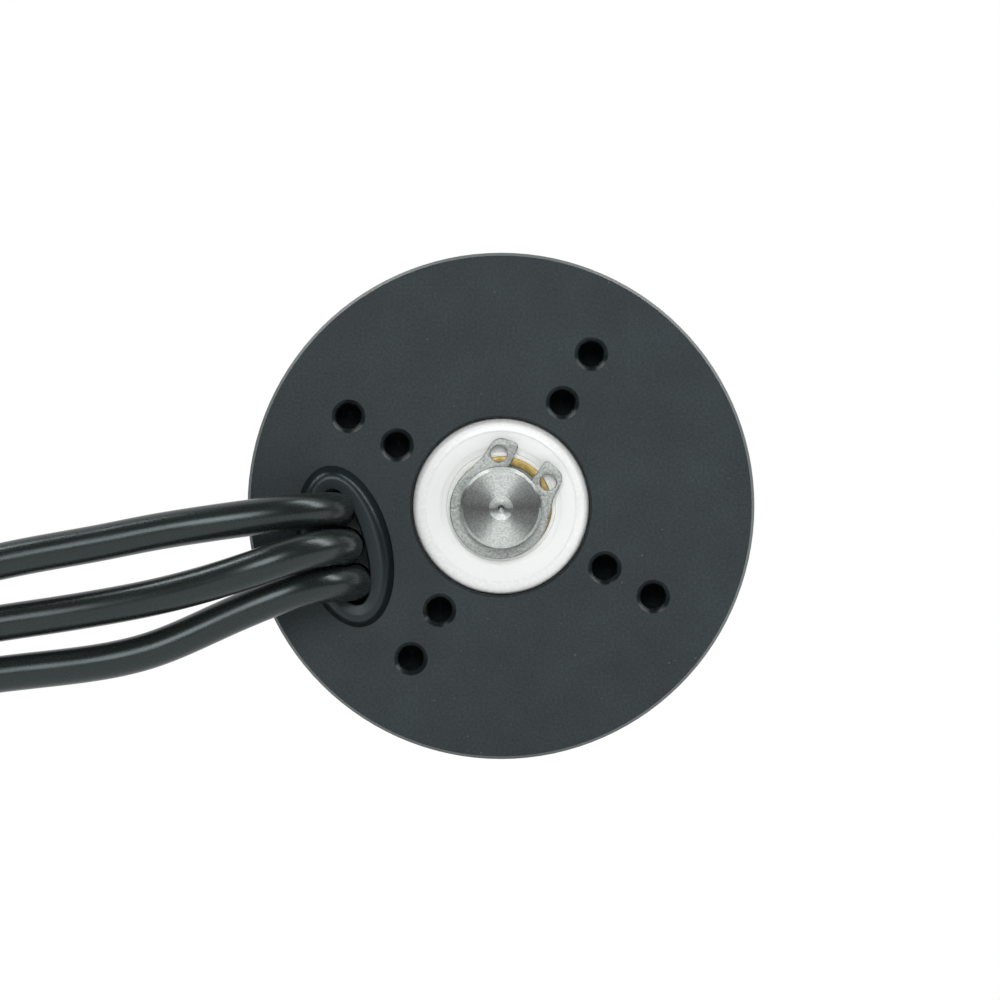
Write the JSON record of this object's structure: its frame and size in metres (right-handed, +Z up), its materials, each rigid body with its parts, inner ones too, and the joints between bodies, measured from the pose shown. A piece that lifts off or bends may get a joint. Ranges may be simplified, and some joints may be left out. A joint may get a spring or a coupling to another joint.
{
  "type": "brushless outrunner motor",
  "caption": "Waterproof brushless outrunner motor with round mounting plate, tapped bolt circles, ceramic bearings, output shaft and free leads.",
  "frame": {"origin": "centre of the mounting face, on the shaft axis", "axes": "+Y along the shaft from the mounting face to the output end, +Z up with the motor lying on its side as pictured"},
  "size_m": [0.1413, 0.1215, 0.063],
  "materials": {
    "anodised_black": "matte black anodised",
    "can_black": "satin black coated steel",
    "ceramic_white": "polished white ceramic",
    "seal_white": "satin white",
    "laminated_steel": "laminated",
    "insulator_plastic": "matte",
    "winding_copper": "enamelled copper wire",
    "lead_silicone": "satin silicone",
    "grommet_rubber": "semi-gloss rubber",
    "heat_shrink": "satin",
    "gold_plated": "gold plated",
    "shaft_steel": "ground and turned",
    "spring_steel": "stamped",
    "washer_brass": "bare",
    "magnet_nickel": "nickel plated"
  },
  "bodies": {
    "stator": {"base_plate": "anodised_black", "rear_outer_ring": "ceramic_white", "rear_seals": "seal_white", "rear_balls": "ceramic_white", "rear_cage": "seal_white", "front_outer_ring": "ceramic_white", "front_seals": "seal_white", "front_balls": "ceramic_white", "front_cage": "seal_white", "stator_core": "laminated_steel", "rear_insulator": "insulator_plastic", "front_insulator": "insulator_plastic", "phase_a_coils": "winding_copper", "phase_b_coils": "winding_copper", "phase_c_coils": "winding_copper", "winding_splices": "lead_silicone", "cable_grommet": "grommet_rubber", "outlet_potting": "grommet_rubber", "lead_a": "lead_silicone", "lead_b": "lead_silicone", "lead_c": "lead_silicone", "sleeve_a": "heat_shrink", "sleeve_b": "heat_shrink", "sleeve_c": "heat_shrink", "bullet_a": "gold_plated", "bullet_b": "gold_plated", "bullet_c": "gold_plated"},
    "rotor": {"shaft": "shaft_steel", "circlip": "spring_steel", "thrust_washer": "washer_brass", "rear_inner_ring": "ceramic_white", "front_inner_ring": "ceramic_white", "front_shim": "washer_brass", "rotor_can": "can_black", "magnets_north": "magnet_nickel", "magnets_south": "magnet_nickel", "front_cap": "anodised_black", "grub_screws": "spring_steel", "cap_screws": "spring_steel"}
  },
  "joints": [
    {"name": "rotor_spin", "type": "hinge", "parent": "stator", "child": "rotor", "pos_m": [0, 0.03, 0], "axis": [0, 1, 0], "continuous": true}
  ]
}
